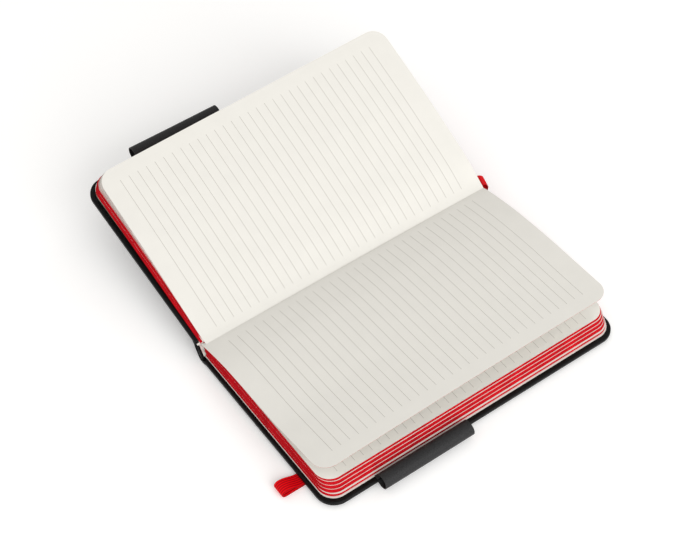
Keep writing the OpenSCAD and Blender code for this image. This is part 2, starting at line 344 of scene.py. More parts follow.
def ruled_paper(sizes, colours):
    """Writing paper printed with thin grey lines, between its margins."""
    material, shader, tone = fibre_paper("ruled_writing_paper", colours.paper)
    uv = add_node(material, "ShaderNodeUVMap", uv_map="page")
    axes = add_node(material, "ShaderNodeSeparateXYZ", {"Vector": uv.outputs["UV"]})

    def value(operation, a, b=0.0):
        return add_node(material, "ShaderNodeMath", {0: a, 1: b}, operation=operation).outputs[0]

    first = (PAGE_H - (sizes.rule_count - 1) * sizes.rule_pitch) / 2
    along = value("MULTIPLY", axes.outputs["X"], PAGE_W)
    across = value("MULTIPLY", axes.outputs["Y"], PAGE_H)
    lines = value("DIVIDE", value("SUBTRACT", across, first), sizes.rule_pitch)
    away = value("MULTIPLY", value("PINGPONG", lines, 0.5), sizes.rule_pitch)
    ink = add_node(material, "ShaderNodeMapRange", {"Value": away, "From Min": sizes.rule_w * 0.3,
        "From Max": sizes.rule_w * 0.6, "To Min": 1.0, "To Max": 0.0})
    inside = value("MULTIPLY", value("GREATER_THAN", lines, -0.5), value("LESS_THAN", lines,
        sizes.rule_count - 0.5))
    between = value("MULTIPLY", value("GREATER_THAN", along, sizes.rule_inner), value("LESS_THAN",
        along, PAGE_W - sizes.rule_outer))
    printed = value("MULTIPLY", ink.outputs["Result"], value("MULTIPLY", inside, between))
    page = add_node(material, "ShaderNodeMix", {"Factor": printed, "A": tone.outputs["Result"],
        "B": linear(colours.ruling)}, data_type="RGBA")
    material.node_tree.links.new(page.outputs["Result"], shader.inputs["Base Color"])
    return material


def dyed_edge(colours):
    """Cut paper edges, sprayed with red dye: matt, streaked sheet by sheet."""
    material, shader = new_material("sprayed_red_edge", Roughness=0.8, IOR=1.45,
        Specular_IOR_Level=0.12)
    uv = add_node(material, "ShaderNodeUVMap", uv_map="page")
    # Streaks follow the sheets, drawn three times as coarse as a sheet so that they show.
    stretch = add_node(material, "ShaderNodeMapping", {"Vector": uv.outputs["UV"], "Scale": (12.0, 3.3,
        1.0)})
    streaks = add_node(material, "ShaderNodeTexNoise", {"Vector": stretch.outputs["Vector"],
        "Scale": 1.0, "Detail": 2.0})
    tone = add_node(material, "ShaderNodeValToRGB", {"Fac": streaks.outputs["Fac"]})
    tone.color_ramp.elements[0].position = 0.34
    tone.color_ramp.elements[0].color = shade(colours.edge_dye, 0.62)
    tone.color_ramp.elements[1].position = 0.62
    tone.color_ramp.elements[1].color = shade(colours.edge_dye, 1.04)
    bump = add_node(material, "ShaderNodeBump", {"Height": streaks.outputs["Fac"], "Strength": 0.4,
        "Distance": 0.05 * MM})
    dress(material, shader, tone.outputs["Color"], bump)
    return material


def woven(name, colour, thread, roughness, sheen):
    """A woven textile: crossing threads that catch a soft sheen.

    The weave is drawn about three times as coarse as its threads, so that it shows."""
    material, shader = new_material(name, Roughness=roughness, Sheen_Weight=sheen, Sheen_Roughness=0.4,
        Specular_IOR_Level=0.15)
    place = add_node(material, "ShaderNodeTexCoord").outputs["Object"]
    warp, weft = (add_node(material, "ShaderNodeTexWave", {"Vector": place,
            "Scale": 1 / (thread * 20 / 2.0), "Distortion": 0.3}, bands_direction=way) for way in "XY")
    weave = add_node(material, "ShaderNodeMath", {0: warp.outputs["Fac"], 1: weft.outputs["Fac"]},
        operation="ADD")
    tone = add_node(material, "ShaderNodeMapRange", {"Value": weave.outputs[0], "From Max": 2.0})
    colours = add_node(material, "ShaderNodeMix", {"Factor": tone.outputs["Result"], "A": shade(colour,
        0.72), "B": shade(colour, 1.12)}, data_type="RGBA")
    bump = add_node(material, "ShaderNodeBump", {"Height": weave.outputs[0], "Strength": 0.35,
        "Distance": thread * 0.3})
    dress(material, shader, colours.outputs["Result"], bump)
    return material


def ribbed_elastic(sizes, colours):
    """Braided elastic: lengthways ribs, with painted shade darkening the grooves and painted light along the ribs,
    crossed by a fine matt weave.
    """
    lo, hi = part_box("elastic_strap")
    material, shader = new_material("ribbed_elastic_webbing", Roughness=0.7, Specular_IOR_Level=0.12)
    place = add_node(material, "ShaderNodeTexCoord").outputs["Object"]
    rib = (hi.x - lo.x) / sizes.rib_count
    # A sine wave is as long as a rib, and lowest in the grooves. It paints shade into the grooves and paints the
    # ribs lighter.
    groove_shade_wave = add_node(material, "ShaderNodeTexWave", {"Vector": place, "Scale": math.pi / (10 * rib),
        "Phase Offset": -2 * math.pi * lo.x / rib}, bands_direction="X")
    # Picks of the weave are 0.4 mm apart.
    picks = add_node(material, "ShaderNodeTexWave", {"Vector": place,
        "Scale": math.pi / (10 * 0.4 * MM)}, bands_direction="Y")
    # Painted shade and light: the grooves get a darker red and the ribs a lighter red.
    tone = add_node(material, "ShaderNodeValToRGB", {"Fac": groove_shade_wave.outputs["Fac"]})
    tone.color_ramp.elements[0].color = shade(colours.elastic, 0.45)
    tone.color_ramp.elements[1].position = 0.55
    tone.color_ramp.elements[1].color = shade(colours.elastic, 1.15)
    bump = add_node(material, "ShaderNodeBump", {"Height": picks.outputs["Fac"], "Strength": 0.4,
        "Distance": 0.06 * MM})
    dress(material, shader, tone.outputs["Color"], bump)
    return material


def greyboard():
    """Pressed recycled greyboard: matt grey with dark flecks."""
    material, shader = new_material("pressed_greyboard", Roughness=0.9)
    place = add_node(material, "ShaderNodeTexCoord").outputs["Object"]
    flecks = add_node(material, "ShaderNodeTexNoise", {"Vector": place, "Scale": 1 / (0.8 * MM),
        "Detail": 6.0})
    tone = add_node(material, "ShaderNodeMix", {"Factor": flecks.outputs["Fac"], "A": linear("#6F6A62"),
        "B": linear("#A39C90")}, data_type="RGBA")
    material.node_tree.links.new(tone.outputs["Result"], shader.inputs["Base Color"])
    return material


def make_materials(sizes, colours):
    MATERIALS["cover"] = leatherette("embossed_black_leatherette", colours.leatherette, 0.45, 0.7 * MM)
    MATERIALS["pen_loop"] = leatherette("brushed_grey_leatherette", colours.pen_loop, 0.5, 0.6 * MM)
    MATERIALS["ruled"] = ruled_paper(sizes, colours)
    MATERIALS["endpaper"] = fibre_paper("plain_endpaper", colours.endpaper)[0]
    MATERIALS["edge"] = dyed_edge(colours)
    MATERIALS["elastic"] = ribbed_elastic(sizes, colours)
    MATERIALS["ribbon"] = woven("red_satin_ribbon", colours.ribbon, 0.12 * MM, 0.4, 0.05)
    MATERIALS["mull"] = woven("white_mull_cloth", "#F2F0EA", 0.7 * MM, 0.85, 0.1)
    MATERIALS["thread"] = woven("waxed_linen_thread", "#FBFAF4", 0.2 * MM, 0.7, 0.1)
    MATERIALS["board"] = greyboard()


# ---- sheets of paper ----


NECK = 3 * MM
CORNER_R = 10 * MM
FOOT_SKEW = 2.7 * MM
FOOT_SET_BACK = 0.8 * MM
FLUFF = 0.36 * MM
REACH_OUT = 0.95 * MM
RULING_SHIFT = 6 * MM
LEAF_T = 0.12 * MM
PAGE_SKEW = 2.2 * MM
GUTTER = 3.2 * MM


def evenly(points):
    """Gives the point at any part, 0 to 1, of the length of a smooth curve through points."""
    path = smooth_path(points, 12)
    run = [0.0]
    for a, b in zip(path, path[1:]):
        run.append(run[-1] + math.dist(a, b))

    def at(part):
        want = part * run[-1]
        k = 0
        while k < len(run) - 2 and run[k + 1] < want:
            k += 1
        f = (want - run[k]) / (run[k + 1] - run[k])
        return [a + (b - a) * f for a, b in zip(path[k], path[k + 1])]
    return at


def page_stops(length, reach, count=26, corner=12):
    """Distances from the fold, closer together at the fold and round the corners."""
    first, last = reach
    stops = [-NECK, -NECK / 2]
    stops += [(length - CORNER_R) * (k / count) ** 1.4 for k in range(count + 1)]
    stops += [length - CORNER_R + CORNER_R * math.sin(math.pi / 2 * k / corner) for k in range(1,
        corner + 1)]
    inside = [s for s in stops if first < s < min(last, length)]
    return [first, *inside, min(last, length)]


def paper_stack(name, place, thickness, sheets, length=None, ragged=0.0, seed=1, rows=24, reach=(0.0,
        1.0), skew=(0.0, 0.0), finish=("ruled", "edge")):
    """A sheet, or a stack of sheets, with round fore-edge corners.

    place(s, y, h) gives the point at s from the fold, y from the foot and h above the
    stack's lower face. Its edges show the sheets one by one, each a little in or out.
    skew is how far its lowest and highest sheets' feet are from the block's foot, and
    reach is where it starts and stops, from the fold."""
    length = length or PAGE_W
    stops = page_stops(length, reach)
    rng = random.Random(seed)
    shift = [rng.uniform(-ragged, ragged) for _ in range(sheets)]

    def span(s):
        over = max(s - (length - CORNER_R), 0.0)
        cut = CORNER_R - math.sqrt(max(CORNER_R ** 2 - over ** 2, 0.0))
        return cut, PAGE_H - cut

    grid = [[(s, lo + (hi - lo) * j / rows) for j in range(rows + 1)] for s in stops for lo,
        hi in [span(s)]]
    verts, faces, uvs, edge_faces = [], [], [], []

    def put(s, y, h, edge_uv=None):
        y += (skew[0] + (skew[1] - skew[0]) * h / thickness) * (1 - y / PAGE_H)
        verts.append(place(s, y, h))
        uvs.append(edge_uv or (s / length, y / PAGE_H))
        return len(verts) - 1

    top = [[put(s, y, thickness) for s, y in row] for row in grid]
    low = [[put(s, y, 0.0) for s, y in row] for row in grid]
    for i in range(len(grid) - 1):
        for j in range(rows):
            faces.append((top[i][j], top[i + 1][j], top[i + 1][j + 1], top[i][j + 1]))
            faces.append((low[i][j], low[i][j + 1], low[i + 1][j + 1], low[i + 1][j]))
    flat_faces = len(verts)
    last = len(grid) - 1
    rim = ([(i, 0) for i in range(last)] + [(last, j) for j in range(rows)] + [(i, rows)
        for i in range(last, 0, -1)] + [(0, j) for j in range(rows, 0, -1)])
    flat = [grid[i][j] for i, j in rim]
    outward = []
    for k in range(len(rim)):
        (s0, y0), (s1, y1) = flat[k - 1], flat[(k + 1) % len(flat)]
        d = Vector((y1 - y0, s0 - s1))
        outward.append(d.normalized() if d.length > 0 else Vector((1, 0)))
    layers = [[low[i][j] for i, j in rim]]
    levels = 2 * sheets
    run = [0.0]
    for k in range(1, len(flat)):
        run.append(run[-1] + math.dist(flat[k], flat[k - 1]))
    for level in range(1, levels):
        row = []
        for k, (s, y) in enumerate(flat):
            push = 0.0
            if s > 2 * MM and sheets > 1:
                push = -0.3 * thickness / sheets if level % 2 == 0 else shift[level // 2]
            n = outward[k]
            h = thickness * level / levels
            row.append(put(s + n.x * push, y + n.y * push, h, (run[k] * 10, h / MM)))
        layers.append(row)
    layers.append([top[i][j] for i, j in rim])
    first_edge = len(faces)
    for a, b in zip(layers, layers[1:]):
        for k in range(len(rim)):
            m = (k + 1) % len(rim)
            at_fold = rim[k][0] == 0 and rim[m][0] == 0
            faces.append((a[k], a[m], b[m], b[k]))
            edge_faces.append(0 if at_fold else 1)
    piece = new_piece(name, verts, faces, MATERIALS[finish[0]], smooth=30)
    piece.data.materials.append(MATERIALS[finish[1]])
    piece.data.polygons.foreach_set("material_index", [0] * first_edge + edge_faces)
    layer = piece.data.uv_layers.new(name="page")
    # Across the edges, the second coordinate is the height in the stack in millimetres.
    for face in piece.data.polygons:
        edge = face.index >= first_edge
        for corner in face.loop_indices:
            vertex = piece.data.loops[corner].vertex_index
            u, v = uvs[vertex]
            if edge and vertex < flat_faces:
                v = thickness / MM if vertex < flat_faces / 2 else 0.0
            layer.data[corner].uv = (u, v)
    return piece


def opened_leaf(foot, head, twist, side):
    """Places a sheet that stands up from the fold, between a foot and a head profile.

    The profiles are in millimetres from the fold's own line, [x, z]. The first point is
    where the sheet leaves its neighbour, to which it clings from the fold."""
    foot_at, head_at = evenly(foot), evenly(head)

    def centre(s, y):
        t = min(max(y / PAGE_H, 0.0), 1.0)
        w = 1 - (1 - t) ** twist
        a, b = foot_at(max(s / PAGE_W, 0.0)), head_at(max(s / PAGE_W, 0.0))
        x, z = a[0] + (b[0] - a[0]) * w, a[1] + (b[1] - a[1]) * w
        clings = 1 + min(s, 0.0) / NECK
        return Vector((LEAF_HINGE[0] + x * clings * MM, LEAF_HINGE[1] + z * clings * MM))

    def place(s, y, h):
        step = 0.3 * MM
        along = centre(s + step, y) - centre(max(s - step, -NECK), y)
        along.normalize()
        here = centre(s, y) + Vector((-along.y, along.x)) * side * h
        return Vector((here.x, PAGE_LO.y + y, here.y))
    return centre, place


RIGHT_FOOT = ((3.4, 1.2), (9, 2.7), (18, 4.7), (32.9, 6.8), (57.3, 7.9), (76, 8.9), (97.8, 12.0), (113,
    14.3), (121.8, 15.5))
RIGHT_HEAD = ((3.4, 3.7), (9.7, 5.9), (28.8, 10.2), (47.6, 12.9), (66.1, 14.7), (84.4, 15.8), (102.3,
    16.9), (120.6, 18.1))
LEFT_FOOT = ((1.9, 0.8), (-6.1, 3.6), (-31.8, 13.2), (-63.1, 24.7), (-95.0, 35.4), (-114.3, 41.8))
LEFT_HEAD = ((3.4, 3.7), (-9.9, 13.0), (-19.3, 18.5), (-32.9, 25.1), (-46.5, 31.5), (-60.2, 37.7),
    (-74.9, 43.7), (-89.7, 49.5), (-107.6, 56.4))
right_centre, right_place = opened_leaf(RIGHT_FOOT, RIGHT_HEAD, 2.0, 1)
left_centre, left_place = opened_leaf(LEFT_FOOT, LEFT_HEAD, 1.0, -1)


class NOTEBOOK_OT_signatures(bpy.types.Operator):
    """Builds the signatures that lie on the right, with dyed edges"""

    bl_idname = "notebook.signatures"
    bl_label = "Signatures"

    def execute(self, context):
        sizes = context.scene.notebook_sizes
        stacks = (("signature_6", "back_cover"), ("signature_5", "signature_5"), ("signature_4",
            "signature_4"), ("signature_3", "signature_3"), ("signature_2_right", "signature_2_right"))
        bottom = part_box("signature_6")[0].z
        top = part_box("signature_2_right")[1].z

        def skewed(z):
            part = (z - bottom) / (top - bottom)
            return FOOT_SET_BACK + (FOOT_SKEW - FOOT_SET_BACK) * part

        for seed, (node, body) in enumerate(stacks):
            lo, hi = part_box(node)
            solid = hi.z - lo.z
            fluffed = solid if body == "signature_2_right" else solid + FLUFF
            # The sheets slide over one another, the lower ones further out.
            slide = 0.0 if body == "back_cover" else REACH_OUT

            def place(s, y, h, lo=lo, fluffed=fluffed, slide=slide):
                out = slide * (1 - h / fluffed) * s / PAGE_W
                return Vector((lo.x + s + out, lo.y + y, lo.z + h))

            piece = paper_stack(node + "_leaves", place, fluffed, round(solid / sizes.sheet_t),
                hi.x - lo.x, 0.07 * MM, seed, skew=(skewed(lo.z), skewed(lo.z + fluffed)))
            if body == "signature_2_right":
                # The ruling of this page lies nearer to the fore edge.
                for corner in piece.data.uv_layers["page"].data:
                    corner.uv.x -= RULING_SHIFT / PAGE_W
            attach(piece, body)
            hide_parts(node)
            if fluffed > solid:
                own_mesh(piece)
        lo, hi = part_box("back_flyleaf")

        def place(s, y, h):
            return Vector((lo.x + s, lo.y + y, lo.z - 0.08 * MM + h))

        piece = paper_stack("back_endpaper_sheets", place, 0.32 * MM, 3, hi.x - lo.x + 1.1 * MM,
            0.05 * MM, 9, skew=(0.45 * MM, 0.5 * MM), finish=("endpaper", "endpaper"))
        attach(piece, "back_cover")
        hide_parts("back_flyleaf")
        return {"FINISHED"}


class NOTEBOOK_OT_turned_signatures(bpy.types.Operator):
    """Builds the first signature and the fanned half of the second, on the left"""

    bl_idname = "notebook.turned_signatures"
    bl_label = "Turned signatures"

    def execute(self, context):
        sizes = context.scene.notebook_sizes
        angle = open_angle("signature_1")
        lo, hi = closed_box("signature_1", angle)
        thick = hi.z - lo.z

        def place(s, y, h):
            x, z = turned_over(lo.x + s, lo.z + h, angle)
            return Vector((x, lo.y + y, z))

        piece = paper_stack("signature_1_leaves", place, thick, round(thick / sizes.sheet_t),
            hi.x - lo.x, 0.12 * MM, 7, skew=(1.5 * MM, 0.2 * MM))
        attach(piece, "signature_1")
        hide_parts("signature_1")
        fly_lo, fly_hi = closed_box("front_flyleaf", angle)

        def place_flyleaf(s, y, h):
            x, z = turned_over(fly_lo.x + s, fly_lo.z - 0.04 * MM + h, angle)
            return Vector((x, fly_lo.y + y, z))

        piece = paper_stack("front_endpaper_sheets", place_flyleaf, 0.2 * MM, 2,
            fly_hi.x - fly_lo.x + 0.8 * MM, 0.05 * MM, 8, skew=(0.5 * MM, 0.5 * MM), finish=("endpaper",
            "endpaper"))
        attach(piece, "signature_1")
        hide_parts("front_flyleaf")
        self.fan(lo.z)
        return {"FINISHED"}

    def fan(self, low_z):
        """Sheets lie loosely on the first signature, and the last few stand apart."""
        angle = open_angle("signature_2_left")
        lo, hi = closed_box("signature_2_left", angle)
        below = open_angle("signature_1")
        up = Vector((math.sin(angle), -math.cos(angle)))

        def loose(s):
            """The part of the gap below the open page that the loose sheets fill."""
            t = min(max((s - 15 * MM) / (PAGE_W - 15 * MM), 0.0), 1.0)
            return 0.72 - 0.46 * t

        def between(s, y, part):
            under = Vector(turned_over(lo.x + s, low_z, below))
            return under.lerp(left_centre(s, y), part)

        pile = 3.5 * MM

        def place_pile(s, y, h):
            here = between(s, y, 0.02 + (loose(s) - 0.02) * h / pile)
            return Vector((here.x, lo.y + y, here.y))

        made = [paper_stack("loose_sheets", place_pile, pile, 14, PAGE_W, 0.15 * MM, 11, reach=(GUTTER,
            PAGE_W), skew=(1.5 * MM, 2.0 * MM))]
        for k, part in enumerate((0.1, 0.24, 0.42, 0.62, 0.9)):

            def place(s, y, h, part=part):
                share = loose(s) + (1 - loose(s)) * part
                here = between(s, y, share) + up * h
                return Vector((here.x, lo.y + y, here.y))

            made.append(paper_stack(f"fan_{k}", place, 0.2 * MM, 2, PAGE_W, 0.1 * MM, k, reach=(GUTTER,
                PAGE_W), skew=(2.0 * MM, 2.0 * MM)))
        joined = join(made, "signature_2_fanned_leaves")
        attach(joined, "signature_2_left")
        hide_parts("signature_2_left")
        flatten_in_closed_book(joined, hi.z, angle)


def join(pieces, name):
    """Joins pieces into the first one, keeping their materials and page coordinates."""
    with bpy.context.temp_override(active_object=pieces[0], object=pieces[0], selected_objects=pieces,
            selected_editable_objects=pieces):
        bpy.ops.object.join()
    pieces[0].name = name
    pieces[0].data.name = name
    return pieces[0]


def flatten_in_closed_book(piece, closed_z, angle):
    """Gives a leaf or fan a mesh of its own."""
    x, z = turned_over(FRONT_HINGE[0], closed_z, angle)
    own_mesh(piece)


class NOTEBOOK_OT_open_leaves(bpy.types.Operator):
    """Builds the two single leaves that stand up from the fold"""

    bl_idname = "notebook.open_leaves"
    bl_label = "Open leaves"

    def execute(self, context):
        self.right()
        self.left()
        return {"FINISHED"}

    def right(self):
        piece = paper_stack("right_leaf_sheet", right_place, LEAF_T, 1, reach=(-NECK, PAGE_W))
        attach(piece, "right_leaf")
        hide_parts("right_leaf")
        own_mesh(piece)

    def left(self):
        angle = open_angle("left_leaf")
        piece = paper_stack("left_leaf_sheet", left_place, LEAF_T, 1, reach=(GUTTER, PAGE_W),
            skew=(PAGE_SKEW, PAGE_SKEW))
        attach(piece, "left_leaf")
        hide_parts("left_leaf")
        flatten_in_closed_book(piece, closed_box("left_leaf", angle)[1].z, angle)
        # Its inner margin clings to the right-hand leaf, and stays with the block.
        piece = paper_stack("left_leaf_margin", left_place, LEAF_T, 1, reach=(-NECK, GUTTER + 0.1 * MM),
            skew=(PAGE_SKEW, PAGE_SKEW))
        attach(piece, "signature_2_right")
        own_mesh(piece)


# ---- case ----


def cover_shell(name, place):
    """The leatherette around one board: rounded edges, turned in over the inner face."""
    sizes = bpy.context.scene.notebook_sizes
    r = sizes.edge_r
    skin = 0.35 * MM
    inner_wall = skin + FULLER
    lip = 0.2 * MM
    turn_in = 3.4 * MM
    low = -FULLER
    profile = [(3 * MM, low)]
    for k in range(9):
        a = math.pi / 2 * k / 8
        profile.append((r - r * math.sin(a), low + r - r * math.cos(a)))
    for k in range(9):
        a = math.pi / 2 * k / 8
        profile.append((r - r * math.cos(a), COVER_T - r + r * math.sin(a)))
    profile += [(turn_in - 0.1 * MM, COVER_T), (turn_in, COVER_T - 0.05 * MM),
            (turn_in, COVER_T - lip), (inner_wall, COVER_T - lip), (inner_wall, skin)]
    rings = [[place(x, y, h) for x, y in cover_outline(inset)] for inset, h in profile]
    return loft(name, rings, MATERIALS["cover"], smooth=50)


class NOTEBOOK_OT_covers(bpy.types.Operator):
    """Wraps both boards in leatherette with rounded edges"""

    bl_idname = "notebook.covers"
    bl_label = "Covers"

    def execute(self, context):
        angle = open_angle("front_cover")

        def back(x, y, h):
            return Vector((x, y, COVER_LO.z + h))

        def front(x, y, h):
            nx, nz = turned_over(x, 2 * MIDDLE_Z - COVER_LO.z - h, angle)
            return Vector((nx, y, nz))

        for side, place in (("back", back), ("front", front)):
            piece = cover_shell(side + "_cover_leatherette", place)
            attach(piece, side + "_cover")
            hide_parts(side + "_cover_skin")
        return {"FINISHED"}


def strip_along_spine(name, path, thickness, material, inset=0.0, smooth=50, ends=1.0):
    """A band whose cross-section follows a path in the XZ plane."""
    section = thick_line(path, thickness, ends)
    y0, y1 = COVER_LO.y + inset, COVER_HI.y - inset
    rim = min(thickness * 0.3, 0.15 * MM)
    centre = Vector((sum(p[0] for p in section), sum(p[1] for p in section))) / len(section)
    rings = []
    for y, pull in ((y0, 1), (y0 + rim, 0), (y0 + 10 * MM, 0), (y1 - 10 * MM, 0), (y1 - rim, 0), (y1,
            1)):
        ring = []
        for x, z in section:
            d = (centre - Vector((x, z))).normalized() * rim * pull
            ring.append(Vector((x + d.x, y, z + d.y)))
        rings.append(ring)
    return loft(name, rings, material, smooth)


class NOTEBOOK_OT_spine(bpy.types.Operator):
    """Covers the spine, and its joints with both covers"""

    bl_idname = "notebook.spine"
    bl_label = "Spine"

    def execute(self, context):
        angle = open_angle("front_cover")
        skin = 1.8 * MM
        wrapped = 2.5 * MM
        face_x = COVER_LO.x - 5.25 * MM
        foot_z, top_z = COVER_LO.z + 1.2 * MM, FRONT_HINGE[1] - 1.3 * MM
        board_x = COVER_LO.x + 0.35 * MM

        def spine_face(z):
            part = (z - foot_z) / (top_z - foot_z)
            return on_spine(face_x + wrapped / 2 - 0.4 * MM * math.sin(math.pi * part) - FULLER, z)

        steps = 16
        face = [spine_face(foot_z + (top_z - foot_z) * k / steps) for k in range(steps + 1)]
        spine = strip_along_spine("spine_leatherette", face, wrapped, MATERIALS["cover"], -FULLER,
            ends=0.7)
        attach(spine, "spine")
        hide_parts("spine_skin")

        # The joint with the back cover hangs below it to the table.
        on_back = (board_x + 1.2 * MM, COVER_LO.z + skin / 2 - FULLER)
        low = face[2]
        path = smooth_path([on_back, (board_x - 0.6 * MM, COVER_LO.z + 0.3 * MM),
                    ((board_x + low[0]) / 2, (COVER_LO.z + low[1]) / 2 - 0.6 * MM),
                    low], 6)
        joint = strip_along_spine("back_joint_leatherette", path, skin, MATERIALS["cover"], -FULLER,
            ends=0.7)
        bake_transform(joint)

        # The joint with the front cover folds under its edge when the book is open.
        top_outer = 2 * MIDDLE_Z - COVER_LO.z
        on_front = turned_over(board_x + 2.4 * MM, top_outer + FULLER - skin / 2, angle)
        near = turned_over(board_x + 0.8 * MM, top_outer - 0.1 * MM, angle)
        start = face[-3]
        middle = ((start[0] + near[0]) / 2 - 0.2 * MM, (start[1] + near[1]) / 2)
        path = smooth_path([start, middle, near, on_front], 8)
        joint = strip_along_spine("front_joint_leatherette", path, skin, MATERIALS["cover"], -FULLER,
            ends=0.7)
        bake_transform(joint)
        self.inner_joints(angle)
        # Leatherette turned in at the head and foot fills the spine's two ends.
        caps = []
        for k, (y0, y1) in enumerate(((COVER_LO.y - FULLER, PAGE_LO.y - 0.15 * MM),
                    (PAGE_HI.y + 0.15 * MM, COVER_HI.y + FULLER))):
            path = [on_spine(face_x + 1.3 * MM, foot_z + (top_z - foot_z) * n / steps)
                    for n in range(steps + 1)]
            section = thick_line(path, 3.4 * MM, 0.6)
            middle = Vector((sum(q[0] for q in section), sum(q[1] for q in section)))
            middle /= len(section)
            rings = []
            for n in range(7):
                t = n / 6
                pull = 0.12 * (2 * t - 1) ** 4
                rings.append([Vector((x + (middle.x - x) * pull, y0 + (y1 - y0) * t,
                    z + (middle.y - z) * pull)) for x, z in section])
            caps.append(loft(f"cap_{k}", rings, MATERIALS["cover"], smooth=60))
        caps = join(caps, "spine_head_caps")
        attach(caps, "spine")
        return {"FINISHED"}

    def inner_joints(self, angle):
        """Endpaper hinges between the block's lining and each cover's inner face."""
        lining_x = COVER_LO.x - 2.95 * MM
        low = on_spine(lining_x, BACK_HINGE[1] + 0.9 * MM)
        high = on_spine(lining_x, FRONT_HINGE[1] - 0.9 * MM)
        back_end = (COVER_LO.x + 0.8 * MM, BACK_HINGE[1] - 0.05 * MM)
        front_end = turned_over(COVER_LO.x + 0.8 * MM, FRONT_HINGE[1] + 0.05 * MM, angle)
        for name, a, b, pair in (("back_endpaper_hinge", back_end, low, ("back_cover", "spine")),
                ("front_endpaper_hinge", high, front_end, ("spine", "front_cover"))):
            path = smooth_path([a, ((a[0] + b[0]) / 2, (a[1] + b[1]) / 2 - 0.15 * MM), b], 8)
            hinge = strip_along_spine(name, path, 0.2 * MM, MATERIALS["endpaper"], 2 * MM)
            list(pair)
            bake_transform(hinge)


# ---- fittings ----


class NOTEBOOK_OT_pen_loops(bpy.types.Operator):
    """Sews a soft tube of leatherette to each cover's fore edge"""

    bl_idname = "notebook.pen_loops"
    bl_label = "Pen loops"

    def execute(self, context):
        sizes = context.scene.notebook_sizes
        angle = open_angle("front_cover")
        wide, tall = 4.7 * MM, 4.35 * MM
        centre = (COVER_HI.x + 3.5 * MM, COVER_LO.z + 4.75 * MM)
        tab_z = COVER_LO.z + COVER_T + sizes.loop_wall / 2
        path = [(COVER_HI.x - 3.4 * MM, tab_z - 0.5 * MM),
                (COVER_HI.x - 2.4 * MM, tab_z - 0.05 * MM)]
        steps = 40
        for k in range(steps + 1):
            a = math.radians(205 + 318 * k / steps)
            flat = 1 - 0.03 * math.cos(2 * a)
            path.append((centre[0] + wide * flat * math.cos(a), centre[1] + tall * math.sin(a)))
        for side in ("back", "front"):
            if side == "back":
                lo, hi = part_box("back_pen_loop")
            else:
                lo, hi = closed_box("front_pen_loop", angle)

            def place(x, y, z, side=side):
                if side == "front":
                    x, z = turned_over(x, 2 * MIDDLE_Z - z, angle)
                return Vector((x, y, z))

            rings = []
            section = thick_line(path, sizes.loop_wall)
            count = 26
            for k in range(count + 1):
                part = k / count
                y = lo.y + (hi.y - lo.y) * part
                sag = 0.12 * MM * math.sin(math.pi * part)
                rings.append([place(x, y, z - sag) for x, z in section])
            piece = loft(side + "_pen_loop_tube", rings, MATERIALS["pen_loop"], smooth=50)
            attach(piece, side + "_cover")
            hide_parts(side + "_pen_loop")
            base = place(centre[0], 0.0, COVER_LO.z + 0.4 * MM)
            up = place(centre[0], 0.0, COVER_LO.z + 1.4 * MM) - base
            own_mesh(piece)
        return {"FINISHED"}


class NOTEBOOK_OT_elastic(bpy.types.Operator):
    """Lays the ribbed elastic under the back cover, with its slack loop past the foot"""

    bl_idname = "notebook.elastic"
    bl_label = "Elastic"

    def execute(self, context):
        sizes = context.scene.notebook_sizes
        lo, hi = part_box("elastic_strap")
        t = ELASTIC_T
        fold_r = 2.5 * MM
        fold_y = lo.y + fold_r + t / 2
        foot, head = COVER_LO.y, COVER_HI.y
        slit = 7.5 * MM
        path = [(foot + slit, 2.4 * t + 0.2 * MM), (foot + slit - 0.2 * MM, 1.9 * t),
                (foot + slit - 1.4 * MM, 1.5 * t), (foot + 2 * MM, 1.5 * t)]
        for k in range(13):
            part = k / 12
            ease = (1 - math.cos(math.pi * part)) / 2
            path.append((foot + (fold_y - foot) * part, 1.5 * t + (2 * fold_r - t) * ease))
        for k in range(1, 17):
            a = math.pi / 2 + math.pi * k / 16
            path.append((fold_y + fold_r * math.cos(a), t / 2 + fold_r + fold_r * math.sin(a)))
        path += [(fold_y + 4 * MM, t / 2), (foot, t / 2), (foot + 4 * MM, t / 2)]
        path += [(foot + (head - foot) * k / 12, t / 2) for k in range(1, 12)]
        path += [(head - slit - 2 * MM, t / 2), (head - slit - 0.8 * MM, 0.75 * t),
                (head - slit, 1.5 * t), (head - slit, 2.4 * t + 0.2 * MM)]
        middle, half = (lo.x + hi.x) / 2, (hi.x - lo.x) / 2
        section = []
        across = sizes.rib_count * 6
        for side in (1, -1):
            for k in range(across + 1):
                u = -1 + 2 * k / across
                rib = abs(math.sin(math.pi * sizes.rib_count * (u + 1) / 2))
                lift = (t / 2 - 0.2 * MM) + 0.2 * MM * rib
                section.append((side * u * half, side * lift))
        rings = []
        for i, (y, z) in enumerate(path):
            b, a = path[max(i - 1, 0)], path[min(i + 1, len(path) - 1)]
            along = Vector((a[0] - b[0], a[1] - b[1])).normalized()
            rings.append([Vector((middle + u, y - along.y * v, z + along.x * v)) for u, v in section])
        piece = loft("elastic_closure_band", rings, MATERIALS["elastic"], smooth=60)
        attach(piece, "back_cover")
        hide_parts("elastic_strap")
        return {"FINISHED"}


